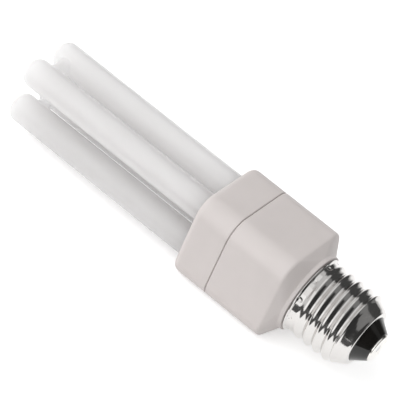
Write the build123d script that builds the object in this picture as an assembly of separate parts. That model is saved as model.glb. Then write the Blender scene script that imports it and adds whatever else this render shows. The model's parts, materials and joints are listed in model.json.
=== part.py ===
from build123d import *
import math
import os

os.makedirs("parts", exist_ok=True)

# A compact fluorescent lamp with four straight tubes, a square two-part housing and a 27 mm screw cap.
# It lies on one flat of its housing. The lamp's axis is X: the tubes point to -X and the cap to +X,
# with the outer face of the centre contact at x = 0. Sizes are in millimetres.

# Glass tubes
tube_od = 9.9
tube_pitch = 15.05
tube_reach = 75.2
tube_inside = 9.7
tip_round = 3.2
tip_crown = 0.5
tip_slope = 0.3
foot_round = 2.0
bridge_od = 5.6
tip_bridge_from_end = 6.4
foot_bridge_from_cover = 6.0

# Housing
housing_side = 32.3
housing_corner = 7.0
housing_wall = 1.6
cover_length = 13.2
cover_edge_round = 2.4
base_length = 21.3
seam_gap = 0.4
seam_edge_round = 0.3
tongue_wall = 0.75
tongue_length = 3.0
tongue_clearance = 0.1
tube_hole_clearance = 0.15
shoulder_length = 3.3
shoulder_drop = 0.8
shoulder_edge_round = 1.2
collar_proud = 0.55
collar_length = 1.3
collar_edge_round = 0.3
neck_wall = 1.5
neck_length = 7.5
rib_depth = 0.9
rib_width = 1.6
rib_length = 13.0
rib_root = 0.2

# Cement round the feet of the tubes
cement_depth = 4.0
cement_gap = 0.02

# Screw cap: a skirt, a rounded right-handed thread and a tapered end
thread_od = 26.2
thread_pitch = 25.4 / 7
thread_depth = 1.0
thread_phase = -45.0
thread_share = 0.9
thread_embed = 0.35
thread_land = 0.12
thread_slope = 0.45
thread_from_rim = 2.44
thread_before_taper = 1.15
skirt_below_crest = 0.45
skirt_length = 3.6
skirt_step = 0.5
rim_proud = 0.7
rim_length = 0.5
rim_flare = 0.7
root_length = 15.4
cap_wall = 0.4
taper_length = 3.6
taper_drop = 1.5
cap_end_round = 1.4
cap_mouth_od = 16.4
cap_fit = 0.08
punch_count = 11
punch_radius = 1.1
punch_depth = 0.3
punch_from_rim = 1.6
punch_phase = 149.0

# Black glass insulator and centre contact
insulator_length = 4.1
insulator_end_od = 10.4
insulator_inner_depth = 2.2
insulator_fit = 0.05
insulator_bore = 2.4
contact_od = 9.6
contact_stand = 0.8
contact_edge_round = 0.35
contact_hole = 2.4
solder_recess = 0.1
solder_fit = 0.02

# Circuit board
board_thickness = 1.6
board_clearance = 0.25
board_from_seam = 2.4
lead_radius = 0.3
lead_clearance = 0.05
lead_stub = 0.9

# Choke: two E-shaped ferrite halves on a bobbin
choke_side_gap = 1.35
choke_end_gap = 2.9
choke_width = 13.0
choke_depth = 6.0
choke_height = 12.6
choke_back = 2.6
choke_outer_leg = 2.2
choke_middle_leg = 3.4
choke_stand = 0.3
choke_gap = 0.1
bobbin_wall = 0.6
bobbin_flange = 0.7
bobbin_span = 11.0
bobbin_rail = 2.2
winding_gap = 0.05
winding_inset = 0.5
pin_pitch_y = 6.8

# Drive transformer: a ferrite ring with three windings
ring_wall_gap = 1.2
ring_od = 9.4
ring_bore = 5.0
ring_height = 4.2
ring_winding = 0.5
ring_gap = 0.05
ring_winding_angle = 40.0
ring_windings = 3
ring_turn = 30.0

# Capacitors
can_side_gap = 1.2
can_end_gap = 3.55
can_od = 10.0
can_length = 15.5
can_round = 0.8
can_lead_pitch = 5.0
film_stand = 0.3
film_round = 0.9
resonant_side_gap = 1.35
film_end_gap = 1.75
resonant_size = (5.0, 10.0, 9.0)
start_from_resonant = 0.5
start_size = (3.0, 9.0, 7.5)
film_lead_inset = 2.0

# Transistors, diodes and fuse resistor
transistor_from_start = 0.3
transistor_wall_gap = 3.6
transistor_spacing = 5.6
transistor_radius = 2.2
transistor_flat = 1.4
transistor_height = 4.7
transistor_stand = 2.0
transistor_lead_pitch = 1.27
diode_count = 4
diode_wall_gap = 1.0
diode_spacing = 2.8
diode_row = -0.8
diode_od = 2.6
diode_length = 5.0
diode_span = 8.0
diode_stand = 0.1
fuse_from_bobbin = 1.2
fuse_wall_gap = 1.15
fuse_od = 2.8
fuse_length = 7.0
fuse_stand = 1.0
fuse_round = 0.45
fuse_lead = 1.2

# Wires
post_side = 0.8
post_length = 4.0
post_wall_gap = 1.15
post_inset = 2.0
filament_wire = 0.5
filament_pitch = 3.2
filament_drop = 1.4
wire_od = 1.0
wire_bend = 3.0
neutral_place = (0.0, 0.0)
live_turn = 4.5
live_slant = 11.0
neutral_rise = 17.5
neutral_slant = 9.0
neutral_past_neck = 2.2

# Stations along the axis, counted back from the contact's outer face
x_cap_end = -(contact_stand + insulator_length)
x_taper = x_cap_end - taper_length
x_rim = x_taper - root_length - skirt_length
x_thread = x_rim + thread_from_rim
x_collar = x_rim - collar_length
x_shoulder = x_collar - shoulder_length
x_seam = x_shoulder - base_length
x_cover = x_seam - cover_length
x_tip = x_cover - tube_reach
x_foot = x_cover + tube_inside
x_board = x_seam + board_from_seam
x_parts = x_board + board_thickness

# Shared radii and half sizes
thread_r = thread_od / 2
root_r = thread_r - thread_depth
skirt_r = thread_r - skirt_below_crest
rim_r = skirt_r + rim_proud
collar_r = rim_r + collar_proud
bore_r = root_r - cap_wall
neck_r = bore_r - cap_fit
cavity_side = housing_side - 2 * housing_wall
cavity_corner = housing_corner - housing_wall
neck_x_end = x_rim + neck_length
leg_places = [(y * tube_pitch / 2, z * tube_pitch / 2) for y in (-1, 1) for z in (-1, 1)]
filament_legs = [(y, z) for y, z in leg_places if y < 0]

# Places on the board, as (y, z), measured from the walls of the room or from the next part
half_room = cavity_side / 2
choke_place = (choke_side_gap + choke_width / 2 - half_room, half_room - choke_end_gap - bobbin_span / 2)
can_place = (half_room - can_side_gap - can_od / 2, half_room - can_end_gap - can_od / 2)
ring_reach = half_room - ring_wall_gap - ring_od / 2 - ring_winding - ring_gap
ring_place = (ring_reach, -ring_reach)
resonant_y = resonant_side_gap + resonant_size[0] / 2 - half_room
start_y = resonant_y + resonant_size[0] / 2 + start_from_resonant + start_size[0] / 2
resonant_place = (resonant_y, film_end_gap + resonant_size[1] / 2 - half_room)
start_place = (start_y, film_end_gap + start_size[1] / 2 - half_room)
transistor_y = start_y + start_size[0] / 2 + transistor_from_start + transistor_radius
transistor_z = transistor_wall_gap - half_room
transistor_places = ((transistor_y, transistor_z + transistor_spacing), (transistor_y, transistor_z))
bobbin_side = choke_width - 2 * choke_outer_leg - 2 * choke_gap
fuse_y = choke_place[0] + bobbin_side / 2 + fuse_from_bobbin + fuse_od / 2
fuse_place = (fuse_y, half_room - fuse_wall_gap - fuse_od / 2)
diode_last = half_room - diode_wall_gap - diode_od / 2
post_row = half_room - post_wall_gap - post_side / 2


def across(x):
    """A plane square to the lamp's axis: its own x is Y and its own y is Z."""
    return Plane.YZ.offset(x)


def block(section, x_low, x_high):
    """A section drawn across the axis, carried along it."""
    return extrude(across(x_low) * section, amount=x_high - x_low)


def turned(outline):
    """A closed outline of x and radius, turned about the lamp's axis."""
    return revolve(make_face(Polyline(*outline, close=True)), Axis.X)


def square(side, corner):
    return RectangleRounded(side, side, corner)


def rod(place, radius, x_low, x_high):
    return block(Pos(*place) * Circle(radius), x_low, x_high)


def wire(points, radius, bends):
    """A round wire along straight runs joined by tangent arcs."""
    path = FilletPolyline(*points, radius=bends)
    start = Plane(origin=path @ 0, z_dir=path % 0)
    return sweep(start * Circle(radius), path=path)


def write(name, solid):
    export_step(solid, f"parts/{name}.step")


def tube_leg():
    """One straight tube with a softly crowned tip and a rounded foot."""
    r = tube_od / 2
    flat_r = r - tip_round
    corner_x = x_tip + tip_crown + tip_round
    foot_x = x_foot - foot_round
    edge = [
        Line((x_foot, 0), (x_foot, r - foot_round)),
        RadiusArc((x_foot, r - foot_round), (foot_x, r), -foot_round),
        Line((foot_x, r), (corner_x, r)),
        RadiusArc((corner_x, r), (x_tip + tip_crown, flat_r), -tip_round),
        Spline((x_tip + tip_crown, flat_r), (x_tip, 0), tangents=[(-tip_slope, -1), (0, -1)]),
        Line((x_tip, 0), (x_foot, 0)),
    ]
    return revolve(make_face(Wire(edge)), Axis.X)


def discharge_tube():
    """Four legs joined by two bridges near the tips and one near the housing."""
    leg = tube_leg()
    body = None
    for y, z in leg_places:
        placed = Pos(0, y, z) * leg
        body = placed if body is None else body + placed
    half = tube_pitch / 2
    for z in (-half, half):
        at_tip = Plane(origin=(x_tip + tip_bridge_from_end, -half, z), z_dir=(0, 1, 0))
        body += extrude(at_tip * Circle(bridge_od / 2), amount=tube_pitch)
    at_foot = Plane(origin=(x_cover - foot_bridge_from_cover, half, -half), z_dir=(0, 0, 1))
    body += extrude(at_foot * Circle(bridge_od / 2), amount=tube_pitch)
    return body


def tube_cover():
    """The square cup that holds the tubes, with a tongue that enters the base."""
    end = x_seam - seam_gap / 2
    outer = block(square(housing_side, housing_corner), x_cover, end)
    outer = fillet(outer.faces().sort_by(Axis.X)[0].edges(), cover_edge_round)
    outer = fillet(outer.faces().sort_by(Axis.X)[-1].edges(), seam_edge_round)
    tongue_side = cavity_side + 2 * tongue_wall
    tongue = block(square(tongue_side, cavity_corner + tongue_wall), end, x_seam + tongue_length)
    cavity = block(square(cavity_side, cavity_corner), x_cover + housing_wall, x_seam + tongue_length)
    cup = outer + tongue - cavity
    for place in leg_places:
        cup -= rod(place, tube_od / 2 + tube_hole_clearance, x_cover, x_cover + housing_wall)
    return cup


def tube_cement():
    """The plate of cement that bonds the tubes into their cover."""
    low = x_cover + housing_wall
    plate = block(square(cavity_side - 2 * cement_gap, cavity_corner - cement_gap), low, low + cement_depth)
    for place in leg_places:
        plate -= rod(place, tube_od / 2 + cement_gap, low, low + cement_depth)
    return plate


def shoulder(side, corner, x_low, round_r, x_high):
    """The sloping roof between the square wall and the round collar."""
    return loft([across(x_low) * square(side, corner), across(x_high) * Circle(round_r)])


def ballast_housing():
    """The base shell: a square wall, a sloping shoulder, a collar and a neck inside the cap."""
    start = x_seam + seam_gap / 2
    wall = block(square(housing_side, housing_corner), start, x_shoulder)
    wall = fillet(wall.faces().sort_by(Axis.X)[0].edges(), seam_edge_round)
    roof = shoulder(housing_side, housing_corner, x_shoulder, collar_r, x_collar)
    collar = rod((0, 0), collar_r, x_collar, x_rim)
    collar = fillet(collar.edges().sort_by(Axis.X)[-1], collar_edge_round)
    neck = rod((0, 0), neck_r, x_rim, neck_x_end)
    body = wall + roof
    bends = [e for e in body.edges() if abs(e.center().X - x_shoulder) < seam_edge_round]
    body = fillet(bends, shoulder_edge_round)
    shell = body + collar + neck

    neck_bore = neck_r - neck_wall
    attic_x = x_shoulder - shoulder_drop
    room = block(square(cavity_side, cavity_corner), start, attic_x)
    attic = shoulder(cavity_side, cavity_corner, attic_x, neck_bore, x_collar)
    bore = rod((0, 0), neck_bore, x_collar, neck_x_end)
    rebate_side = cavity_side + 2 * (tongue_wall + tongue_clearance)
    rebate_corner = cavity_corner + tongue_wall + tongue_clearance
    rebate = block(square(rebate_side, rebate_corner), start, x_seam + tongue_length)
    shell -= room + attic + bore
    shell -= rebate

    inner = cavity_side / 2
    rib = Pos(inner - rib_depth / 2 + rib_root / 2, 0) * Rectangle(rib_depth + rib_root, rib_width)
    for turn in range(4):
        shell += Rot(90 * turn, 0, 0) * block(rib, x_parts, x_parts + rib_length)
    return shell


def cap_end_radii():
    """Outer radius where the tapered end starts to round over, and where that round meets the end face."""
    edge_r = root_r - taper_drop
    return edge_r, edge_r - cap_end_round


def cap_blank():
    """The turned form of the screw cap under its thread, solid inside."""
    edge_r, face_r = cap_end_radii()
    return turned([
        (x_rim, 0),
        (x_rim, rim_r),
        (x_rim + rim_length, rim_r),
        (x_rim + rim_length + rim_flare, skirt_r),
        (x_rim + skirt_length, skirt_r),
        (x_rim + skirt_length + skirt_step, root_r),
        (x_taper, root_r),
        (x_cap_end - cap_end_round, edge_r),
        (x_cap_end, face_r),
        (x_cap_end, 0),
    ])


def cap_hollow():
    """The room inside the shell, with the mouth that the insulator fills."""
    mouth_r = cap_mouth_od / 2
    inner_end = x_cap_end - cap_wall
    return turned([
        (x_rim, 0),
        (x_rim, bore_r),
        (x_taper - cap_wall / 2, bore_r),
        (inner_end, cap_end_radii()[1] - cap_wall / 2),
        (inner_end, mouth_r),
        (x_cap_end, mouth_r),
        (x_cap_end, 0),
    ])


def thread_ridge():
    """The crest of the thread: a bell-shaped ridge carried round a helix and trimmed to the crest radius."""
    spine = Helix(thread_pitch, x_taper - thread_before_taper - x_thread, root_r)
    height = thread_depth + thread_land
    half = thread_pitch / 2 * thread_share
    rise = (thread_slope, 1)
    fall = (-thread_slope, 1)
    bell = [
        Line((-thread_embed, -half), (0, -half)),
        Spline((0, -half), (height, 0), (0, half), tangents=[rise, (0, 1), fall]),
        Line((0, half), (-thread_embed, half)),
        Line((-thread_embed, half), (-thread_embed, -half)),
    ]
    start = Plane(origin=spine @ 0, x_dir=(1, 0, 0), z_dir=spine % 0)
    ridge = sweep(start * make_face(Wire(bell)), path=spine, is_frenet=True)
    ridge = ridge & Cylinder(thread_r, 2 * (root_length + skirt_length))
    phase = math.radians(thread_phase)
    seat = Plane(
        origin=(x_thread, 0, 0),
        x_dir=(0, math.cos(phase), math.sin(phase)),
        z_dir=(1, 0, 0),
    )
    return seat * ridge


def cap_shell():
    shell = cap_blank() + thread_ridge() - cap_hollow()
    centre_r = skirt_r + punch_radius - punch_depth
    for i in range(punch_count):
        angle = punch_phase + 360 * i / punch_count
        shell -= Rot(angle, 0, 0) * Pos(x_rim + punch_from_rim, centre_r, 0) * Sphere(punch_radius)
    return shell


def cap_insulator():
    """Black glass that fills the end of the cap and stands out as a cone."""
    mouth_r = cap_mouth_od / 2 - insulator_fit
    inner_end = x_cap_end - cap_wall
    shelf_r = cap_end_radii()[1] - cap_wall / 2 - insulator_fit
    return turned([
        (inner_end - insulator_inner_depth, insulator_bore / 2),
        (inner_end - insulator_inner_depth, shelf_r),
        (inner_end, shelf_r),
        (inner_end, mouth_r),
        (x_cap_end, mouth_r),
        (x_cap_end + insulator_length, insulator_end_od / 2),
        (x_cap_end + insulator_length, insulator_bore / 2),
    ])


def centre_contact():
    """A round plate with a rounded edge and a hole for the soldered lead."""
    r = contact_od / 2
    plate = rod((0, 0), r, -contact_stand, 0)
    plate = fillet(plate.edges().sort_by(Axis.X)[-1], contact_edge_round)
    return plate - rod((0, 0), contact_hole / 2, -contact_stand, 0)


def contact_solder():
    """The plug of solder round the end of the live lead."""
    plug = rod((0, 0), contact_hole / 2 - solder_fit, -contact_stand, -solder_recess)
    return plug - rod((0, 0), wire_od / 2 + solder_fit, -contact_stand, -contact_stand / 2)


def lead_points():
    """Where component leads pass through the board."""
    points = []
    for y in (-1, 1):
        for z in (-1, 1):
            rail = bobbin_span / 2 - bobbin_rail / 2
            points.append((choke_place[0] + y * pin_pitch_y / 2, choke_place[1] + z * rail))
    for y in (-1, 1):
        points.append((can_place[0] + y * can_lead_pitch / 2, can_place[1]))
    for place, size in ((resonant_place, resonant_size), (start_place, start_size)):
        for z in (-1, 1):
            points.append((place[0], place[1] + z * (size[1] / 2 - film_lead_inset)))
    for place in transistor_places:
        for i in (-1, 0, 1):
            points.append((place[0] + i * transistor_lead_pitch, place[1]))
    for i in range(diode_count):
        for z in (-1, 1):
            points.append((diode_last - i * diode_spacing, diode_row + z * diode_span / 2))
    points.append(fuse_place)
    return points


def post_places():
    """Two wire posts beside each tube that holds a filament."""
    places = []
    for _, z in filament_legs:
        for side in (-1, 1):
            places.append((-post_row, z + side * post_inset))
    return places


def circuit_board():
    side = cavity_side - 2 * board_clearance
    board = block(square(side, cavity_corner - board_clearance), x_board, x_parts)
    holes = [rod(p, lead_radius + lead_clearance, x_board, x_parts) for p in lead_points()]
    holes.append(rod(neutral_place, wire_od / 2 + lead_clearance, x_board, x_parts))
    for hole in holes:
        board -= hole
    return board


def through_leads(places, x_high):
    """Straight leads from a component down through the board."""
    return [rod(p, lead_radius, x_board - lead_stub, x_high) for p in places]


def choke_core(upper):
    """One E-shaped half: a back plate, two outer legs and a middle leg, which point at the other half."""
    low = x_parts + choke_stand
    middle = low + choke_height / 2
    edge = choke_width / 2 - choke_outer_leg / 2
    back = block(Rectangle(choke_width, choke_depth), low, low + choke_back)
    half = back + block(Rectangle(choke_middle_leg, choke_depth), low, middle)
    for y in (-edge, edge):
        half += block(Pos(y, 0) * Rectangle(choke_outer_leg, choke_depth), low, middle)
    if upper:
        half = mirror(half, about=across(middle))
    return Pos(0, *choke_place) * half


def choke_bobbin():
    low = x_parts + choke_stand + choke_back
    high = low + choke_height - 2 * choke_back
    tube_y = choke_middle_leg + 2 * (choke_gap + bobbin_wall)
    tube_z = choke_depth + 2 * (choke_gap + bobbin_wall)
    flange = Rectangle(bobbin_side, bobbin_span)
    body = block(Rectangle(tube_y, tube_z), low, high)
    body += block(flange, low, low + bobbin_flange)
    body += block(flange, high - bobbin_flange, high)
    body -= block(Rectangle(choke_middle_leg + 2 * choke_gap, choke_depth + 2 * choke_gap), low, high)
    rail_z = bobbin_span / 2 - bobbin_rail / 2
    for z in (-rail_z, rail_z):
        body += block(Pos(0, z) * Rectangle(bobbin_side, bobbin_rail), x_parts, low)
    body = Pos(0, *choke_place) * body
    for pin in through_leads(lead_points()[:4], low):
        body += pin
    return body


def choke_winding():
    low = x_parts + choke_stand + choke_back + bobbin_flange + winding_gap
    high = x_parts + choke_stand + choke_height - choke_back - bobbin_flange - winding_gap
    inner_y = choke_middle_leg + 2 * (choke_gap + bobbin_wall + winding_gap)
    inner_z = choke_depth + 2 * (choke_gap + bobbin_wall + winding_gap)
    outer_y = bobbin_side - winding_inset
    outer_z = bobbin_span - 2 * winding_inset
    corner = (outer_y - inner_y) / 2
    coil = block(RectangleRounded(outer_y, outer_z, corner), low, high)
    coil -= block(Rectangle(inner_y, inner_z), low, high)
    return Pos(0, *choke_place) * coil


def ring_levels():
    low = x_parts + ring_winding + ring_gap
    return low, low + ring_height


def drive_core():
    low, high = ring_levels()
    return rod(ring_place, ring_od / 2, low, high) - rod(ring_place, ring_bore / 2, low, high)


def drive_winding(i):
    """Turns of wire wrapped round a stretch of the ring, as one closed band."""
    low, high = ring_levels()
    grown = ring_winding + ring_gap
    band = Circle(ring_od / 2 + grown) - Circle(ring_bore / 2 - grown)
    reach = ring_od
    half = math.radians(ring_winding_angle / 2)
    wedge = make_face(
        Polyline((0, 0), (reach * math.cos(half), -reach * math.sin(half)),
                 (reach * math.cos(half), reach * math.sin(half)), close=True)
    )
    sector = Rot(0, 0, 360 / ring_windings * i + ring_turn) * wedge
    wrap = block(band & sector, low - grown, high + grown)
    room = Circle(ring_od / 2 + ring_gap) - Circle(ring_bore / 2 - ring_gap)
    wrap -= block(room, low - ring_gap, high + ring_gap)
    return Pos(0, *ring_place) * wrap


def smoothing_capacitor():
    low = x_parts + film_stand
    can = rod(can_place, can_od / 2, low, low + can_length)
    can = fillet(can.edges(), can_round)
    for lead in through_leads(lead_points()[4:6], low):
        can += lead
    return can


def film_capacitor(place, size, leads):
    low = x_parts + film_stand
    body = block(Pos(*place) * RectangleRounded(size[0], size[1], film_round), low, low + size[2])
    for lead in through_leads(leads, low):
        body += lead
    return body


def transistor(i):
    """A half-round package on three leads."""
    low = x_parts + transistor_stand
    flat = Pos(0, -transistor_radius - transistor_flat)
    cut = flat * Rectangle(3 * transistor_radius, 2 * transistor_radius)
    package = Circle(transistor_radius) - cut
    body = block(Pos(*transistor_places[i]) * package, low, low + transistor_height)
    y, z = transistor_places[i]
    for side in (-1, 0, 1):
        body += rod((y + side * transistor_lead_pitch, z), lead_radius, x_board - lead_stub, low)
    return body


def diode(i):
    """A small round body that lies under the board, with a lead bent into the board at each end."""
    y = diode_last - i * diode_spacing
    x = x_board - diode_stand - diode_od / 2
    axis = Plane(origin=(x, y, diode_row - diode_length / 2), z_dir=(0, 0, 1))
    body = extrude(axis * Circle(diode_od / 2), amount=diode_length)
    reach = diode_span / 2
    top = x_parts - diode_stand
    for side in (-1, 1):
        z = diode_row + side * reach
        foot = (x, y, diode_row + side * (diode_length / 2 - diode_stand))
        body += wire([foot, (x, y, z), (top, y, z)], lead_radius, 2 * lead_radius)
    return body


def fuse_resistor():
    low = x_parts + fuse_stand
    high = low + fuse_length
    body = rod(fuse_place, fuse_od / 2, low, high)
    body = fillet(body.edges(), fuse_round)
    body += rod(fuse_place, lead_radius, x_board - lead_stub, low)
    return body + rod(fuse_place, lead_radius, high, high + fuse_lead)


def wire_post(place):
    return block(Pos(*place) * Rectangle(post_side, post_side), x_board - post_length, x_board)


def filament_lead(place, leg):
    """A fine wire from the foot of a tube to its post."""
    side = 1 if place[1] > leg[1] else -1
    z = leg[1] + side * filament_pitch / 2
    x = x_foot + filament_drop
    touch = (x, place[0] + post_side / 2, place[1])
    return wire([(x_foot, leg[0], z), (x, leg[0], z), touch], filament_wire / 2, filament_wire)


def live_lead():
    """From the top of the fuse resistor to the middle of the contact."""
    start = x_parts + fuse_stand + fuse_length + fuse_lead
    turn = start + live_turn
    centre = turn + live_slant
    points = [(start, *fuse_place), (turn, *fuse_place), (centre, 0, 0), (-contact_stand / 2, 0, 0)]
    return wire(points, wire_od / 2, wire_bend)


def neutral_lead():
    """From the board through the neck, and out to the inside of the cap."""
    run = neck_r - neck_wall - wire_od
    turn = x_board + neutral_rise
    level = turn + neutral_slant
    out = neck_x_end + wire_od
    points = [
        (x_board - lead_stub, *neutral_place),
        (turn, *neutral_place),
        (level, 0, -run),
        (out, 0, -run),
        (out + neutral_past_neck, 0, -(bore_r - wire_od / 2 - cap_fit)),
    ]
    return wire(points, wire_od / 2, [wire_bend, wire_bend, wire_od])


write("discharge_tube", discharge_tube())
write("tube_cover", tube_cover())
write("tube_cement", tube_cement())
write("ballast_housing", ballast_housing())
write("cap_shell", cap_shell())
write("cap_insulator", cap_insulator())
write("centre_contact", centre_contact())
write("contact_solder", contact_solder())
write("circuit_board", circuit_board())
write("choke_core_lower", choke_core(False))
write("choke_core_upper", choke_core(True))
write("choke_bobbin", choke_bobbin())
write("choke_winding", choke_winding())
write("drive_core", drive_core())
for number in range(ring_windings):
    write(f"drive_winding_{number + 1}", drive_winding(number))
write("smoothing_capacitor", smoothing_capacitor())
write("resonant_capacitor", film_capacitor(resonant_place, resonant_size, lead_points()[6:8]))
write("start_capacitor", film_capacitor(start_place, start_size, lead_points()[8:10]))
for number in range(len(transistor_places)):
    write(f"transistor_{number + 1}", transistor(number))
for number in range(diode_count):
    write(f"diode_{number + 1}", diode(number))
write("fuse_resistor", fuse_resistor())
for number, post in enumerate(post_places()):
    write(f"wire_post_{number + 1}", wire_post(post))
    write(f"filament_lead_{number + 1}", filament_lead(post, filament_legs[number // 2]))
write("live_lead", live_lead())
write("neutral_lead", neutral_lead())
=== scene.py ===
import json
import math

import bmesh
import bpy
import numpy as np
from mathutils import Matrix, Vector


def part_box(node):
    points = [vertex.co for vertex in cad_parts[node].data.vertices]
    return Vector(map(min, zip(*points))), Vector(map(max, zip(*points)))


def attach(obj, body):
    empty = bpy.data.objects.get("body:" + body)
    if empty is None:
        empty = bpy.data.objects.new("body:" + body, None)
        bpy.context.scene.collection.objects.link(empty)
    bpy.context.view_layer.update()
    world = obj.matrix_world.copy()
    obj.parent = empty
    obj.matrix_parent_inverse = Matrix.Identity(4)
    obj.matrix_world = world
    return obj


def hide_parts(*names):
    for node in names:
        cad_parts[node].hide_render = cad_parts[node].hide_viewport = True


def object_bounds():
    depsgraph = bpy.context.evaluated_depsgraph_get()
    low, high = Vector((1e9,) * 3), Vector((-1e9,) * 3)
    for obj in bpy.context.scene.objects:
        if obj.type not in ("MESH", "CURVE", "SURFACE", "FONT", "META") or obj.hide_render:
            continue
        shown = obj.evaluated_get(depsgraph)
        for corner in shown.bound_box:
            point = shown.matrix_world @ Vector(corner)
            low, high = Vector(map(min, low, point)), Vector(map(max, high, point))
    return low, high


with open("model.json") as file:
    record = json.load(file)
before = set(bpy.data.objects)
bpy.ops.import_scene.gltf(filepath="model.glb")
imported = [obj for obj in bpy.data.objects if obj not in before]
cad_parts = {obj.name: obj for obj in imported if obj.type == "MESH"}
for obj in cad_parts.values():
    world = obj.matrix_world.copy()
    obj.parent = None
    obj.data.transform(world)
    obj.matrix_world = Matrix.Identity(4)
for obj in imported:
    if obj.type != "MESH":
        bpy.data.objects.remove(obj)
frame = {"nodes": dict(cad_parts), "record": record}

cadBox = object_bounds()

# A compact fluorescent lamp lying on one flat of its housing, axis along X, tubes to -X, cap to +X.
# Lengths below are in millimetres and are scaled to metres when a mesh is written. The stage at
# the end is in metres.
mm = 0.001
tongue = 3.0  # how far the cover's tongue runs past the seam

# Where the CAD parts start and end along X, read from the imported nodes.
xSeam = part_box("tube_cover")[1].x / mm - tongue
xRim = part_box("cap_shell")[0].x / mm
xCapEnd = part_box("cap_shell")[1].x / mm
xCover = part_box("tube_cover")[0].x / mm
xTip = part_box("discharge_tube")[0].x / mm
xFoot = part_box("discharge_tube")[1].x / mm
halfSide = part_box("ballast_housing")[1].y / mm
floorZ = cadBox[0].z


def unit(v):
    # Each row divided by its own length; a row of no length stays as it is.
    size = np.linalg.norm(v, axis=-1, keepdims=True)
    return v / np.where(size > 1e-12, size, 1.0)


def smoothStep(w):
    # 3w^2 - 2w^3 between 0 and 1, level outside.
    w = np.clip(w, 0.0, 1.0)
    return w * w * (3.0 - 2.0 * w)


def smoothLow(a, b, k):
    # The lower of two heights, with the corner between them rounded over a height of k.
    h = np.clip(0.5 + 0.5 * (b - a) / k, 0.0, 1.0)
    return b + (a - b) * h - k * h * (1.0 - h)


def smoothHigh(a, b, k):
    # The higher of two heights, rounded the same way.
    return -smoothLow(-a, -b, k)


def roundedLine(corners, rounds, steps=6, closed=True):
    # A line through corners, each replaced by an arc of its own radius r: the arc starts
    # r / tan(half the angle) before the corner and turns about a centre on the line that halves
    # the angle. Works in any number of axes.
    p = np.asarray(corners, float)
    r = np.asarray(rounds, float)[:, None]
    a = unit(np.roll(p, 1, axis=0) - p)
    b = unit(np.roll(p, -1, axis=0) - p)
    if not closed:
        r[0] = r[-1] = 0.0
    theta = np.arccos(np.clip((a * b).sum(-1, keepdims=True), -1.0, 1.0))
    theta = np.clip(theta, 1e-4, math.pi - 1e-4)
    run = r / np.tan(theta / 2)
    centre = p + unit(a + b) * r / np.sin(theta / 2)
    s0 = (p + a * run - centre)[:, None]
    s1 = (p + b * run - centre)[:, None]
    turn = (math.pi - theta)[:, None]
    w = np.linspace(0.0, 1.0, steps)[None, :, None]
    swept = (np.sin((1 - w) * turn) * s0 + np.sin(w * turn) * s1) / np.sin(turn)
    return (centre[:, None] + swept).reshape(-1, p.shape[1])


def filledIn(line, longest, closed=True):
    # The same line with extra points, so that no straight run of it is longer than asked.
    ends = np.roll(line, -1, axis=0) if closed else line[1:]
    starts = line if closed else line[:-1]
    counts = np.ceil(np.linalg.norm(ends - starts, axis=1) / longest)
    counts = np.maximum(1, counts).astype(int)
    index = np.repeat(np.arange(len(starts)), counts)
    first = np.concatenate([[0], np.cumsum(counts)[:-1]])
    share = (np.arange(len(index)) - first[index]) / counts[index]
    made = starts[index] + (ends[index] - starts[index]) * share[:, None]
    return made if closed else np.vstack([made, line[-1:]])


def gridQuads(rows, columns, loopRows, loopColumns):
    # Four-sided faces between neighbours of a grid; a looped side joins its last line to its first.
    i = np.arange(rows if loopRows else rows - 1)[:, None]
    j = np.arange(columns if loopColumns else columns - 1)[None, :]
    i2, j2 = (i + 1) % rows, (j + 1) % columns
    faces = [i * columns + j, i * columns + j2, i2 * columns + j2, i2 * columns + j]
    return np.stack(faces, axis=-1).reshape(-1, 4)


def meshPiece(name, grids, sharpest=32.0):
    # Joins grids of points into one object: each is (points, looped rows, looped columns). Doubles
    # are welded, so poles and seams close, and every face is turned outwards.
    allPoints, allQuads, start = [], [], 0
    for points, loopRows, loopColumns in grids:
        rows, columns = points.shape[:2]
        allPoints.append(points.reshape(-1, 3))
        allQuads.append(gridQuads(rows, columns, loopRows, loopColumns) + start)
        start += rows * columns
    mesh = bpy.data.meshes.new(name)
    mesh.from_pydata(np.vstack(allPoints) * mm, [], np.vstack(allQuads).tolist())
    work = bmesh.new()
    work.from_mesh(mesh)
    bmesh.ops.remove_doubles(work, verts=work.verts, dist=2e-6)
    bmesh.ops.dissolve_degenerate(work, edges=work.edges, dist=1e-7)
    bmesh.ops.recalc_face_normals(work, faces=work.faces)
    openEdges = sum(1 for e in work.edges if not e.is_manifold)
    volume = work.calc_volume(signed=True)
    if volume < 0:
        bmesh.ops.reverse_faces(work, faces=work.faces)
    work.to_mesh(mesh)
    work.free()
    print(name, len(mesh.polygons), "faces,", openEdges, "open edges, volume",
          round(abs(volume) * 1e9, 1), "mm3")
    return shownPiece(name, mesh, sharpest)


def shownPiece(name, mesh, sharpest):
    # An object for a mesh, shaded smooth but for edges that turn by more than the sharpest angle.
    piece = bpy.data.objects.new(name, mesh)
    bpy.context.scene.collection.objects.link(piece)
    mesh.polygons.foreach_set("use_smooth", np.ones(len(mesh.polygons), bool))
    mesh.set_sharp_from_angle(angle=math.radians(sharpest))
    return piece


def turnedGrid(line, count):
    # A line of (x, radius) turned about X: point (x, r cos t, r sin t) for t all the way round.
    t = np.linspace(0, 2 * math.pi, count, endpoint=False)[None, :]
    x, r = line[:, :1], line[:, 1:2]
    return np.stack([x + 0 * t, r * np.cos(t), r * np.sin(t)], axis=-1)


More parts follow.
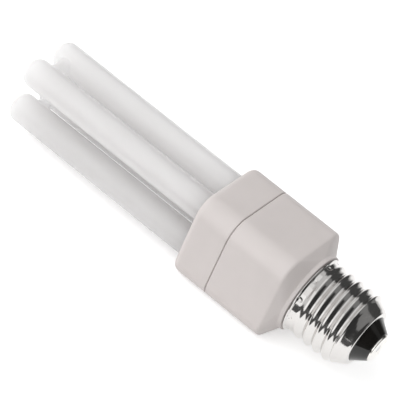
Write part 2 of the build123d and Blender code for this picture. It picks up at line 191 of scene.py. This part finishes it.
def squareGrid(line, flatSteps=5, arcSteps=20):
    # Rounded squares along X, one for each (x, half side, corner radius) of a line. A quarter of
    # each runs up half a flat, round the corner arc and along half the next flat; the other
    # quarters are it turned by 90 degrees.
    x, h, c = (line[:, k][:, None] for k in range(3))
    flat = np.linspace(0, 1, flatSteps, endpoint=False)[None, :]
    arc = np.linspace(0, math.pi / 2, arcSteps, endpoint=False)[None, :]
    inner = h - c
    y = np.hstack([h + 0 * flat, inner + c * np.cos(arc), inner * (1 - flat)])
    z = np.hstack([inner * flat, inner + c * np.sin(arc), h + 0 * flat])
    y, z = np.hstack([y, -z, -y, z]), np.hstack([z, y, -z, -y])
    return np.stack([x + 0 * y, y, z], axis=-1)


def newMaterial(name):
    made = bpy.data.materials.new(name)
    made.use_nodes = True
    made.node_tree.nodes.clear()
    return made, made.node_tree


def addNode(tree, kind, **values):
    made = tree.nodes.new(kind)
    for key, value in values.items():
        if key in made.inputs:
            made.inputs[key].default_value = value
        else:
            setattr(made, key, value)
    return made


def objectPoint(tree, scale):
    # Object coordinates in metres, stretched by a Mapping node.
    point = tree.nodes.new("ShaderNodeTexCoord")
    stretch = tree.nodes.new("ShaderNodeMapping")
    stretch.inputs["Scale"].default_value = scale
    tree.links.new(point.outputs["Object"], stretch.inputs["Vector"])
    return stretch.outputs["Vector"]


finishes = {
    "tube_glass": dict(
        name="powder coat under glass", colour=(0.705, 0.68, 0.676), roughness=0.42, shade=0.02,
        patch=70.0, grain=900.0, stretch=(0.25, 1, 1), Coat_Weight=0.5, Coat_Roughness=0.10,
        Coat_IOR=1.5, Subsurface_Weight=1.0, Subsurface_Scale=0.06,
        Subsurface_Radius=(1.0, 1.0, 1.0)),
    "housing_plastic": dict(
        name="housing plastic", colour=(0.610, 0.565, 0.550), roughness=0.48, shade=0.02,
        patch=90.0, grain=3000.0, bump=0.10),
    "nickel_plate": dict(
        name="nickel plate", colour=(0.67, 0.655, 0.64), roughness=0.12, metallic=1.0, patch=260.0,
        roughVary=0.04, grain=700.0, bump=0.10),
    "black_glass": dict(
        name="black glass", colour=(0.010, 0.009, 0.008), roughness=0.08, shade=0.3, patch=200.0,
        roughVary=0.03, grain=600.0, bump=0.06),
    "contact_metal": dict(
        name="contact metal", colour=(0.84, 0.82, 0.79), roughness=0.24, metallic=1.0, shade=0.04,
        patch=500.0, grain=1500.0, bump=0.08),
    "solder": dict(
        name="solder", colour=(0.66, 0.66, 0.67), roughness=0.34, metallic=1.0, shade=0.08,
        patch=700.0, grain=1800.0, bump=0.3),
    "cement": dict(
        name="cement", colour=(0.78, 0.76, 0.71), roughness=0.9, shade=0.06, patch=350.0,
        grain=2200.0, bump=0.5),
    "board": dict(
        name="board", colour=(0.42, 0.30, 0.14), roughness=0.7, shade=0.08, patch=400.0,
        grain=3000.0, bump=0.2),
    "ferrite": dict(
        name="ferrite", colour=(0.09, 0.09, 0.10), roughness=0.55, shade=0.15, patch=500.0,
        bump=0.3),
    "bobbin_plastic": dict(
        name="bobbin plastic", colour=(0.05, 0.05, 0.05), roughness=0.4, shade=0.2, patch=300.0,
        bump=0.1),
    "copper_wire": dict(
        name="enamelled copper", colour=(0.62, 0.27, 0.12), roughness=0.3, metallic=0.9, shade=0.1,
        patch=600.0, grain=1200.0, bump=0.6, stretch=(4, 1, 1)),
    "can_sleeve": dict(
        name="can sleeve", colour=(0.03, 0.04, 0.07), roughness=0.3, shade=0.2, patch=300.0,
        bump=0.05),
    "film_resin": dict(
        name="dipped resin", colour=(0.45, 0.14, 0.05), roughness=0.3, shade=0.1, patch=400.0,
        bump=0.1),
    "black_resin": dict(
        name="moulded resin", colour=(0.03, 0.03, 0.03), roughness=0.5, shade=0.2, patch=500.0,
        bump=0.2),
    "resistor_coat": dict(
        name="resistor lacquer", colour=(0.20, 0.35, 0.45), roughness=0.3, shade=0.08, patch=500.0,
        bump=0.1),
    "tinned_wire": dict(
        name="tinned wire", colour=(0.72, 0.72, 0.72), roughness=0.3, metallic=1.0, shade=0.05,
        patch=600.0, bump=0.1),
    "lead_wire": dict(
        name="lead sleeve", colour=(0.55, 0.05, 0.04), roughness=0.4, shade=0.06, patch=400.0,
        bump=0.05),
}


def makeFinish(name, colour, roughness, metallic=0.0, shade=0.03, patch=120.0, roughVary=0.05,
               grain=2500.0, bump=0.02, stretch=(1, 1, 1), depth=0.0001, **sockets):
    # One material: a large soft noise moves the colour and the roughness a little either way, and
    # a fine noise gives the bump. What is the same all over is set on the shader itself.
    made, tree = newMaterial(name)
    shader = addNode(tree, "ShaderNodeBsdfPrincipled")
    shader.inputs["Metallic"].default_value = metallic
    for key, value in sockets.items():
        shader.inputs[key.replace("_", " ")].default_value = value
    out = tree.nodes.new("ShaderNodeOutputMaterial")
    tree.links.new(shader.outputs[0], out.inputs["Surface"])
    point = objectPoint(tree, stretch)
    soft = addNode(tree, "ShaderNodeTexNoise", Scale=patch, Detail=3.0, Roughness=0.55)
    tree.links.new(point, soft.inputs["Vector"])
    lowest, highest = 0.3, 0.7  # the range of the soft noise that is spread over the ramp
    ramp = tree.nodes.new("ShaderNodeValToRGB")
    for stop, place, share in ((0, lowest, 1 - shade), (1, highest, 1 + shade)):
        ramp.color_ramp.elements[stop].position = place
        ramp.color_ramp.elements[stop].color = (*[min(1.0, c * share) for c in colour], 1)
    tree.links.new(soft.outputs["Fac"], ramp.inputs["Fac"])
    tree.links.new(ramp.outputs["Color"], shader.inputs["Base Color"])
    vary = tree.nodes.new("ShaderNodeMapRange")
    vary.inputs["From Min"].default_value = lowest
    vary.inputs["From Max"].default_value = highest
    vary.inputs["To Min"].default_value = max(0.0, roughness - roughVary)
    vary.inputs["To Max"].default_value = min(1.0, roughness + roughVary)
    tree.links.new(soft.outputs["Fac"], vary.inputs["Value"])
    tree.links.new(vary.outputs["Result"], shader.inputs["Roughness"])
    fine = addNode(tree, "ShaderNodeTexNoise", Scale=grain, Detail=2.0)
    tree.links.new(point, fine.inputs["Vector"])
    relief = addNode(tree, "ShaderNodeBump", Strength=bump, Distance=depth)
    tree.links.new(fine.outputs["Fac"], relief.inputs["Height"])
    tree.links.new(relief.outputs["Normal"], shader.inputs["Normal"])
    return made


finishOfSlot = {slotName: makeFinish(**values) for slotName, values in finishes.items()}
slotOfNode = {part["node"]: part["material_slot"] for part in frame["record"]["subparts"]}
for nodeName, nodeObject in frame["nodes"].items():
    nodeObject.data.materials.clear()
    nodeObject.data.materials.append(finishOfSlot[slotOfNode[nodeName]])
print("materials ready")


def dress(piece, slotName, nodeName):
    # Gives a piece the material of its slot and its body, and hides the CAD node that it stands
    # for.
    piece.data.materials.append(finishOfSlot[slotName])
    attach(piece, "root")
    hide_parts(nodeName)
    return piece


cap = {
    "crestRadius": 13.1, "rootRadius": 12.1, "pitch": 25.4 / 7, "firstCrest": 2.44,
    "startAngle": -45.0, "fadeAngle": 75.0, "skirtRadius": 12.65,
    "rimAt": [0.0, 0.1, 0.22, 0.36, 0.5, 0.66, 1.3, 1.8],
    "rimRadius": [12.5, 12.82, 13.1, 13.28, 13.33, 13.28, 12.3, 5.0], "rimBlend": 0.12,
    "taperAt": [17.6, 18.3, 18.9, 19.6, 20.3, 21.0, 21.6, 22.1, 22.6],
    "taperRadius": [13.5, 12.6, 11.95, 11.5, 11.1, 10.75, 10.45, 10.1, 9.55], "taperBlend": 0.5,
    "marks": 11, "markDepth": 0.26, "markRadius": 0.75, "markFromRim": 1.6, "markAngle": 121.0,
    "mouthRadius": 8.2, "wall": 0.36, "columns": 264, "step": 0.16, "rimLength": 0.12,
    "endLength": 0.35,
    # (along X, inwards) steps of the rim, of the turn at the end and of the mouth's edge
    "rimTurn": [(0.0, 0.12), (0.03, 0.04)],
    "endTurn": [(0.12, 0.05), (0.24, 0.16), (0.31, 0.32), (0.35, 0.55)],
    "mouthTurn": [(0.04, -0.02), (0.12, 0.0)], "faceShares": [0.35, 0.7, 0.93],
    # inside the taper the wall closes in from the first of these to the second
    "innerFrom": 3.0, "innerTo": 0.4, "innerWide": 13.0, "innerClear": 0.15, "innerRound": 0.4,
}


def capRadius(u, t):
    # Outer radius of the cap at a distance u from its rim and an angle t. The thread is a helix:
    # its phase p is u / pitch less the share of a turn, a crest lies at each whole p, and the
    # height is half a cosine of p. Before the first crest the sheet rises from the skirt, and near
    # the start angle that turn fades in. The rim's flare is taken as the higher of the two, and
    # the tapered end as the lower, with soft corners. The marks are dents that fall off as
    # exp(-d^4) with the distance d from their middle.
    crest, skirt = cap["crestRadius"], cap["skirtRadius"]
    mid, half = 0.5 * (crest + cap["rootRadius"]), 0.5 * (crest - cap["rootRadius"])
    share = ((t - cap["startAngle"]) % 360.0) / 360.0

    def wave(p):
        swing = np.cos(2 * math.pi * p)
        rise = skirt + (crest - skirt) * 0.5 * (1 + swing)
        return np.where(p < -0.5, skirt, np.where(p < 0, rise, mid + half * swing))

    phase = (u - cap["firstCrest"]) / cap["pitch"] - share
    fade = smoothStep(share * 360.0 / cap["fadeAngle"])
    radius = wave(phase - 1) * (1 - fade) + wave(phase) * fade
    taper = np.interp(u, cap["taperAt"], cap["taperRadius"])
    radius = smoothLow(radius, taper, cap["taperBlend"])
    flare = np.interp(u, cap["rimAt"], cap["rimRadius"])
    radius = smoothHigh(radius, flare, cap["rimBlend"])
    turn = 360.0 / cap["marks"]
    away = np.radians((t - cap["markAngle"] + turn / 2) % turn - turn / 2) * skirt
    near = ((u - cap["markFromRim"]) ** 2 + away ** 2) / cap["markRadius"] ** 2
    return radius - cap["markDepth"] * np.exp(-near ** 2)


def makeCapShell():
    # Rows of (distance from the rim, radius) run up the outside, over the end to the mouth, and
    # back down the inside one wall further in. Each is then turned to its angles about X.
    t = np.linspace(0, 360, cap["columns"], endpoint=False)[None, :]
    length, mouth = xCapEnd - xRim, cap["mouthRadius"]

    def row(u, radius):
        return np.stack([u + 0 * t, radius + 0 * t], -1)

    u = np.arange(cap["rimLength"], length - cap["endLength"], cap["step"])[:, None]
    outer = capRadius(u, t)
    last = u[-1, 0]
    reach = (length - last) / cap["endLength"]
    faceEdge = outer[-1:] - cap["endTurn"][-1][1]
    rows = [row(du, outer[:1] - dr) for du, dr in cap["rimTurn"]]
    rows += [row(u, outer)]
    rows += [row(last + du * reach, outer[-1:] - dr) for du, dr in cap["endTurn"]]
    rows += [row(length, faceEdge * (1 - w) + mouth * w) for w in cap["faceShares"]]
    rows += [row(length - du, mouth - dr) for du, dr in cap["mouthTurn"]]
    rows += [row(length - cap["wall"], mouth)]
    back = u[::-2]
    closeIn = np.interp(back, [length - cap["innerFrom"], length - cap["innerTo"]],
                        [cap["innerWide"], faceEdge.min() - cap["innerClear"]])
    inner = np.minimum(capRadius(back, t) - cap["wall"], closeIn)
    rows += [row(length - cap["wall"], inner[:1] - cap["innerRound"]), row(back, inner)]
    rows += [row(0.0, inner[-1:])]
    grid = np.concatenate([line.reshape(-1, t.shape[1], 2) for line in rows])
    angle = np.radians(t)
    x, radius = xRim + grid[..., 0], grid[..., 1]
    points = np.stack([x, radius * np.cos(angle), radius * np.sin(angle)], -1)
    return meshPiece("threadedCap", [(points, True, True)], 40.0)


threadedCap = dress(makeCapShell(), "nickel_plate", "cap_shell")
print("cap ready")


capTip = {
    "mouth": 8.15, "endRadius": 5.2, "length": 4.1, "edge": 0.35, "bore": 1.2, "depth": 2.6,
    "flange": 0.5, "flangeBack": 0.4, "flangeRound": 0.3,
    "contactRadius": 4.8, "contactEdge": 0.38, "contactRise": 0.8, "contactBackEdge": 0.15,
    "dishRadius": 2.2, "dishDepth": 0.10, "dishRound": 0.5,
    "lip": 0.05, "lipDepth": 0.16, "lipBack": 0.3, "lipRound": 0.1,
    "solderRadius": 1.18, "domeBase": 0.30, "domeRise": 0.22, "swirlHeight": 0.03,
    "swirlTurns": 3, "swirlStart": 0.6,
}


def makeGlassTip():
    # One turned line: a hidden flange behind the cap's end, the cone in front of it, and the bore.
    back, face = xCapEnd - capTip["depth"], xCapEnd + capTip["length"]
    step, mouth, bore = xCapEnd - capTip["flangeBack"], capTip["mouth"], capTip["bore"]
    wide = mouth + capTip["flange"]
    corners = [(back, bore), (back, wide), (step, wide), (step, mouth), (xCapEnd, mouth),
               (face, capTip["endRadius"]), (face, bore)]
    line = roundedLine(corners, [0, capTip["flangeRound"], 0, 0, 0, capTip["edge"], 0], 8)
    return meshPiece("blackGlassTip", [(turnedGrid(filledIn(line, 0.6), 144), True, True)])


def makeContact():
    # One turned line: a disc with a soft edge, dished a little towards the solder's hole.
    low, bore = -capTip["contactRise"], capTip["bore"]
    corners = [(low, bore), (low, capTip["contactRadius"]), (0.0, capTip["contactRadius"]),
               (-capTip["dishDepth"], capTip["dishRadius"]),
               (-capTip["lipDepth"], bore + capTip["lip"]), (-capTip["lipBack"], bore)]
    rounds = [0, capTip["contactBackEdge"], capTip["contactEdge"], capTip["dishRound"],
              capTip["lipRound"], 0]
    line = roundedLine(corners, rounds, 8)
    return meshPiece("contactDisc", [(turnedGrid(filledIn(line, 0.5), 128), True, True)])


def makeSolder():
    # A dome that is a cosine high and a sine wide, on a plug. Its height is moved by a sine of
    # three times the angle, more towards the edge, as solder sets.
    low, wide = -capTip["contactRise"], capTip["solderRadius"]
    w = np.linspace(0, 1, 14) * math.pi / 2
    dome = np.stack([capTip["domeRise"] * np.cos(w) - capTip["domeBase"], wide * np.sin(w)], -1)
    plug = np.vstack([dome, [(low, wide), (low, 0.0)]])
    grid = turnedGrid(filledIn(plug, 0.25, closed=False), 64)
    angle = np.arctan2(grid[..., 2], grid[..., 1])
    out = np.hypot(grid[..., 1], grid[..., 2]) / wide
    onDome = grid[..., 0] > 0.01 - capTip["domeBase"]
    swirl = np.sin(capTip["swirlTurns"] * angle + capTip["swirlStart"])
    grid[..., 0] += capTip["swirlHeight"] * swirl * out * onDome
    return meshPiece("solderDrop", [(grid, False, True)], 60.0)


blackGlassTip = dress(makeGlassTip(), "black_glass", "cap_insulator")
contactDisc = dress(makeContact(), "contact_metal", "centre_contact")
solderDrop = dress(makeSolder(), "solder", "contact_solder")
print("cap tip ready")


housing = {
    "corner": 7.0, "wall": 1.6, "seamGap": 0.3, "seamEdge": 0.4, "shoulderLow": 4.6,
    "collarRadius": 13.9, "collarLength": 1.3, "neckRadius": 11.6, "neckEnd": 7.5, "neckWall": 1.5,
    "shoulderRound": 1.2, "shoulderInside": 0.8, "collarFoot": 0.5, "collarRound": 0.3,
    "frontRound": 2.4, "tongue": tongue, "tongueSide": 0.55, "tongueClear": 0.1,
    "tongueRound": 0.15, "tongueFoot": 0.05, "innerRound": 0.3, "lipRound": 0.1, "seamLip": 0.03,
    "holeRadius": 5.1, "holeEdge": 0.3, "holeBack": 0.1, "holeMargin": 0.8, "legPitch": 15.05,
}


def makeBase():
    # A closed line of (x, half side, corner radius) carried round as rounded squares. Where the
    # corner radius equals the half side the square is a circle, so the shoulder runs from one to
    # the other.
    h, c, wall = halfSide, housing["corner"], housing["wall"]
    inH, inC = h - wall, c - wall
    cut = housing["tongueSide"] - housing["tongueClear"]
    lipH, lipC = h - cut, c - cut
    xLow, xLip = xSeam + housing["seamGap"] / 2, xSeam + housing["tongue"]
    xShoulder, xCollar = xRim - housing["shoulderLow"], xRim - housing["collarLength"]
    xNeck = xRim + housing["neckEnd"]
    collar, neck = housing["collarRadius"], housing["neckRadius"]
    neckIn = neck - housing["neckWall"]
    corners = [
        (xLow, h, c), (xShoulder, h, c), (xCollar, collar, collar), (xRim, collar, collar),
        (xRim, neck, neck), (xNeck, neck, neck), (xNeck, neckIn, neckIn),
        (xCollar, neckIn, neckIn), (xShoulder - housing["shoulderInside"], inH, inC),
        (xLip, inH, inC), (xLip, lipH, lipC), (xLow, lipH, lipC),
    ]
    inside, lip = housing["innerRound"], housing["lipRound"]
    rounds = [housing["seamEdge"], housing["shoulderRound"], housing["collarFoot"],
              housing["collarRound"], lip, inside, inside, inside, inside, lip, lip,
              housing["seamLip"]]
    line = filledIn(roundedLine(corners, rounds, 8), 1.5)
    return meshPiece("ballastBase", [(squareGrid(line), True, True)])


def makeCover():
    # The side wall is rounded squares along X. The end wall is four quarters, each a ring of lines
    # that run straight from the quarter's outline to the hole for a leg, over its soft edge and
    # through to the inner face.
    h, c, wall = halfSide, housing["corner"], housing["wall"]
    inH, inC = h - wall, c - wall
    tongueH, tongueC = h - housing["tongueSide"], c - housing["tongueSide"]
    front, hole = housing["frontRound"], housing["holeRadius"]
    xHigh, xTongue = xSeam - housing["seamGap"] / 2, xSeam + housing["tongue"]
    xInner = xCover + wall
    corners = [(xInner, inH, inC), (xTongue, inH, inC), (xTongue, tongueH, tongueC),
               (xHigh, tongueH, tongueC), (xHigh, h, c), (xCover, h, c),
               (xCover, h - front, c - front)]
    tongueRound, tongueFoot = housing["tongueRound"], housing["tongueFoot"]
    rounds = [0, tongueRound, tongueRound, tongueFoot, housing["seamEdge"], front, 0]
    line = filledIn(roundedLine(corners, rounds, 10, closed=False), 1.5, closed=False)
    wallGrid = squareGrid(line)
    grids = [(wallGrid, False, True)]
    quarter = wallGrid.shape[1] // 4
    steps = np.linspace(0, 1, 9, endpoint=False)[:, None]
    through = roundedLine([(xCover, hole + housing["holeMargin"]), (xCover, hole), (xInner, hole),
                           (xInner, hole + housing["holeMargin"] / 2)],
                          [0, housing["holeEdge"], housing["holeBack"], 0], 7, closed=False)
    for k in range(4):
        cos, sin = math.cos(k * math.pi / 2), math.sin(k * math.pi / 2)
        hub = np.array([[cos, -sin], [sin, cos]]) @ np.full(2, housing["legPitch"] / 2)
        loops = []
        for edge in (wallGrid[-1], wallGrid[0]):
            ring = np.roll(edge, -k * quarter, axis=0)[:quarter + 1, 1:]
            loops.append(np.vstack([ring[:-1], ring[-1:] * (1 - steps), ring[:1] * steps]))
        outer, inner = loops
        toOuter, toInner = unit(outer - hub), unit(inner - hub)
        outerEdge, innerEdge = hub + toOuter * through[0, 1], hub + toInner * through[-1, 1]
        lines = [(xCover, outer * (1 - w) + outerEdge * w) for w in (0.0, 0.35, 0.7)]
        lines += [(x, hub + toOuter * r) for x, r in through]
        lines += [(xInner, innerEdge * (1 - w) + inner * w) for w in (0.5, 1.0)]
        rows = [np.column_stack([np.full(len(flat), x), flat]) for x, flat in lines]
        grids.append((np.stack(rows), False, True))
    return meshPiece("tubeCover", grids)


ballastBase = dress(makeBase(), "housing_plastic", "ballast_housing")
tubeCover = dress(makeCover(), "housing_plastic", "tube_cover")
print("housing ready")


tubes = {
    "radius": 4.95, "pitch": 15.05, "crown": 0.45, "tipRound": 3.3, "footRound": 2.0,
    "tipVary": (0.0, 0.25, -0.2, 0.1), "bridge": 2.3, "flare": 0.275, "flareReach": 1.25,
    "tipBridge": 6.4, "footBridge": 6.0, "straightFrom": 12.0, "columns": 96,
}


def makeLeg(y, z, number):
    # A line of (x, radius) turned about the leg's own axis: a low crown, a quarter arc at the tip,
    # a straight run and a round foot. The crown is one less a cosine, and the tip is rounder on
    # some legs than on others, as drawn glass is.
    r, crown = tubes["radius"], tubes["crown"]
    tip = tubes["tipRound"] + tubes["tipVary"][number]
    flat = r - tip
    w = np.linspace(0, 1, 8, endpoint=False)
    top = np.stack([xTip + crown * (1 - np.cos(w * math.pi / 2)), flat * w], -1)
    a = np.linspace(0, math.pi / 2, 16)
    corner = np.stack([xTip + crown + tip * (1 - np.cos(a)), flat + tip * np.sin(a)], -1)
    foot = roundedLine([(xTip + tubes["straightFrom"], r), (xFoot, r), (xFoot, 0.0)],
                       [0, tubes["footRound"], 0], 8, closed=False)
    line = filledIn(np.vstack([top, corner, foot]), 3.0, closed=False)
    grid = turnedGrid(line, tubes["columns"]) + np.array([0.0, y, z])
    return meshPiece("leg", [(grid, False, True)])


def makeBridge(centre, along):
    # A short tube whose radius grows towards its ends as the fourth power of the way out, where it
    # melts into the legs; past the legs' surface it stays level and ends at their axes.
    half = tubes["pitch"] / 2
    s = np.linspace(-half, half, 49)
    way = np.clip(np.abs(s) / (half - tubes["radius"]), 0, tubes["flareReach"])
    radius = np.concatenate([[0.0], tubes["bridge"] + tubes["flare"] * way ** 4, [0.0]])[:, None]
    s = np.concatenate([[-half], s, [half]])[:, None]
    t = np.linspace(0, 2 * math.pi, 64, endpoint=False)[None, :]
    a, b, c = radius * np.cos(t), radius * np.sin(t), s + 0 * t
    grid = np.stack((a, c, b) if along == "y" else (a, b, c), -1) + np.array(centre)
    return meshPiece("bridge", [(grid, False, True)])


def makeTubes():
    # Legs and bridges are united into one closed surface.
    half = tubes["pitch"] / 2
    places = [(-half, -half), (-half, half), (half, -half), (half, half)]
    xBridge = xTip + tubes["tipBridge"]
    parts = [makeLeg(y, z, k) for k, (y, z) in enumerate(places)]
    parts += [makeBridge((xBridge, 0, side), "y") for side in (-half, half)]
    parts += [makeBridge((xCover - tubes["footBridge"], half, 0), "z")]
    whole = parts[0]
    for k in (4, 2, 6, 3, 5, 1):  # leg by leg along the bridges, so each one joins what is there
        union = whole.modifiers.new("union", "BOOLEAN")
        union.operation, union.solver, union.object = "UNION", "EXACT", parts[k]
    graph = bpy.context.evaluated_depsgraph_get()
    mesh = bpy.data.meshes.new_from_object(whole.evaluated_get(graph))
    mesh.name = "glassTubes"
    for part in parts:
        bpy.data.objects.remove(part)
    mesh.materials.clear()
    return shownPiece("glassTubes", mesh, 50.0)


glassTubes = dress(makeTubes(), "tube_glass", "discharge_tube")
print("tubes ready", len(glassTubes.data.polygons), "faces")


stage = {
    "floorSize": 8.0, "floorColour": 0.88, "floorGlow": 0.45, "worldLevel": 0.67,
    "lampSide": 1.8, "lampTarget": (-0.06, 0, 0),
}

lamps = {
    "softLight": {"place": (-1.10, -0.45, 0.85), "power": 9.0},
    "softFill": {"place": (-0.62, -0.90, 0.78), "power": 7.0},
}

# Each card is its brightness and its corners.
cards = {
    "lowCard": (0.10, [(-0.35, -0.045, -0.0155), (0.35, -0.045, -0.0155), (0.35, -0.13, -0.004),
                       (-0.35, -0.13, -0.004)]),
    "frontCard": (1.3, [(-0.3, -0.5, 0.01), (0.4, -0.5, 0.01), (0.4, -0.5, 0.28),
                        (-0.3, -0.5, 0.28)]),
    "middleCard": (1.1, [(-1.0, -0.5, 0.28), (0.4, -0.5, 0.28), (0.4, -0.5, 0.75),
                         (-1.0, -0.5, 0.75)]),
    "topCard": (0.95, [(-0.45, -0.55, 0.8), (0.15, -0.55, 0.8), (0.15, 0.2, 0.8),
                       (-0.45, 0.2, 0.8)]),
    "backCard": (0.07, [(-0.5, 0.30, 0.06), (0.5, 0.30, 0.06), (0.5, 0.30, 0.50),
                        (-0.5, 0.30, 0.50)]),
    "leftCard": (0.80, [(-0.45, -0.9, floorZ), (-0.45, 0.3, floorZ), (-0.45, 0.3, 0.30),
                        (-0.45, -0.9, 0.30)]),
    "rightCard": (0.24, [(0.36, -0.9, floorZ), (0.36, 0.9, floorZ), (0.36, 0.9, 0.8),
                         (0.36, -0.9, 0.8)]),
    "rightLowCard": (0.04, [(0.35, 0.1, floorZ), (0.35, -0.9, floorZ), (0.35, -0.9, 0.38),
                            (0.35, -0.33, 0.30), (0.35, 0.1, 0.30)]),
}

# The photo's view. The object's axis leans out of the picture, the cap nearer, and runs down to
# the right by the roll; the camera looks down by the height. Angles are in degrees, the focal
# length and the image's width in pixels and the rest in millimetres.
view = {
    "lean": 16.31, "roll": 38.6, "height": 41.3, "along": 19.37, "across": 1.495,
    "distance": 806.5, "focalPixels": 2609.6, "imageWidth": 400.0, "sensorWidth": 36.0,
}


def stageMesh(name, corners, shader, tree, made):
    # One flat face for the stage, with a shader as its surface.
    mesh = bpy.data.meshes.new(name)
    mesh.from_pydata([tuple(corner) for corner in corners], [], [tuple(range(len(corners)))])
    out = tree.nodes.new("ShaderNodeOutputMaterial")
    tree.links.new(shader.outputs[0], out.inputs["Surface"])
    mesh.materials.append(made)
    flat = bpy.data.objects.new(name, mesh)
    bpy.context.scene.collection.objects.link(flat)
    return flat


def makeFloor():
    # One large flat square under the lamp. Its colour is a pale grey; a little even glow is added
    # for what the camera, gloss and clear things see, so the background is white and the shadow
    # stays.
    half, level = stage["floorSize"] / 2, stage["floorColour"]
    made, tree = newMaterial("pale floor")
    soft = addNode(tree, "ShaderNodeBsdfDiffuse", Color=(level, level, level, 1))
    ray = tree.nodes.new("ShaderNodeLightPath")
    seen = ray.outputs["Is Camera Ray"]
    for kind in ("Is Glossy Ray", "Is Transmission Ray"):
        either = addNode(tree, "ShaderNodeMath", operation="MAXIMUM")
        tree.links.new(seen, either.inputs[0])
        tree.links.new(ray.outputs[kind], either.inputs[1])
        seen = either.outputs[0]
    power = addNode(tree, "ShaderNodeMath", operation="MULTIPLY")
    power.inputs[1].default_value = stage["floorGlow"]
    tree.links.new(seen, power.inputs[0])
    glow = tree.nodes.new("ShaderNodeEmission")
    tree.links.new(power.outputs[0], glow.inputs["Strength"])
    both = tree.nodes.new("ShaderNodeAddShader")
    tree.links.new(soft.outputs[0], both.inputs[0])
    tree.links.new(glow.outputs[0], both.inputs[1])
    corners = [(-half, -half, floorZ), (half, -half, floorZ), (half, half, floorZ),
               (-half, half, floorZ)]
    stageMesh("floor", corners, both, tree, made)


def makeCard(name, level, corners):
    # A card that only gloss can see, as stood round plated things: black, grey or white by its
    # brightness. It gives the object no light of its own besides what its gloss reflects.
    made, tree = newMaterial(name)
    tone = addNode(tree, "ShaderNodeEmission", Strength=level)
    card = stageMesh(name, corners, tone, tree, made)
    card.visible_camera = False
    card.visible_diffuse = False
    card.visible_shadow = False
    card.visible_transmission = False


def makeLamp(name, place, power):
    # A large square lamp turned to the object. Gloss sees the cards in place of it.
    data = bpy.data.lights.new(name, "AREA")
    data.shape, data.energy = "RECTANGLE", power
    data.size = data.size_y = stage["lampSide"]
    lamp = bpy.data.objects.new(name, data)
    bpy.context.scene.collection.objects.link(lamp)
    lamp.location = place
    lamp.rotation_mode = "QUATERNION"
    towards = Vector(stage["lampTarget"]) - Vector(place)
    lamp.rotation_quaternion = towards.to_track_quat("-Z", "Y")
    lamp.visible_glossy = False


def makeCamera():
    # Right and down are built from the lamp's axis and the way of looking.
    lean, roll, height = (math.radians(view[key]) for key in ("lean", "roll", "height"))
    away = Vector((-math.sin(lean), math.cos(lean) * math.cos(height),
                   -math.cos(lean) * math.sin(height)))
    along = (Vector((1, 0, 0)) + math.sin(lean) * away) / math.cos(lean)
    across = away.cross(along)
    right = math.cos(roll) * along - math.sin(roll) * across
    down = math.sin(roll) * along + math.cos(roll) * across
    back = view["along"] * along + view["across"] * across + view["distance"] * away
    place = Vector((xSeam, 0, 0)) * mm - back * mm
    data = bpy.data.cameras.new("camera")
    data.sensor_width = view["sensorWidth"]
    data.lens = view["focalPixels"] * view["sensorWidth"] / view["imageWidth"]
    data.clip_start, data.clip_end = 0.01, 50.0
    camera = bpy.data.objects.new("camera", data)
    bpy.context.scene.collection.objects.link(camera)
    turn = Matrix((right, -down, -away)).transposed().to_4x4()
    camera.matrix_world = Matrix.Translation(place) @ turn
    bpy.context.scene.camera = camera


def makeWorld():
    # A plain white world, the same from all sides.
    world = bpy.data.worlds.new("studio")
    world.use_nodes = True
    background = world.node_tree.nodes["Background"]
    background.inputs["Color"].default_value = (1, 1, 1, 1)
    background.inputs["Strength"].default_value = stage["worldLevel"]
    bpy.context.scene.world = world


makeFloor()
for cardName, (cardLevel, cardCorners) in cards.items():
    makeCard(cardName, cardLevel, cardCorners)
for lampName, values in lamps.items():
    makeLamp(lampName, values["place"], values["power"])
makeWorld()
bpy.context.scene.view_settings.view_transform = "Standard"
makeCamera()
print("stage ready")
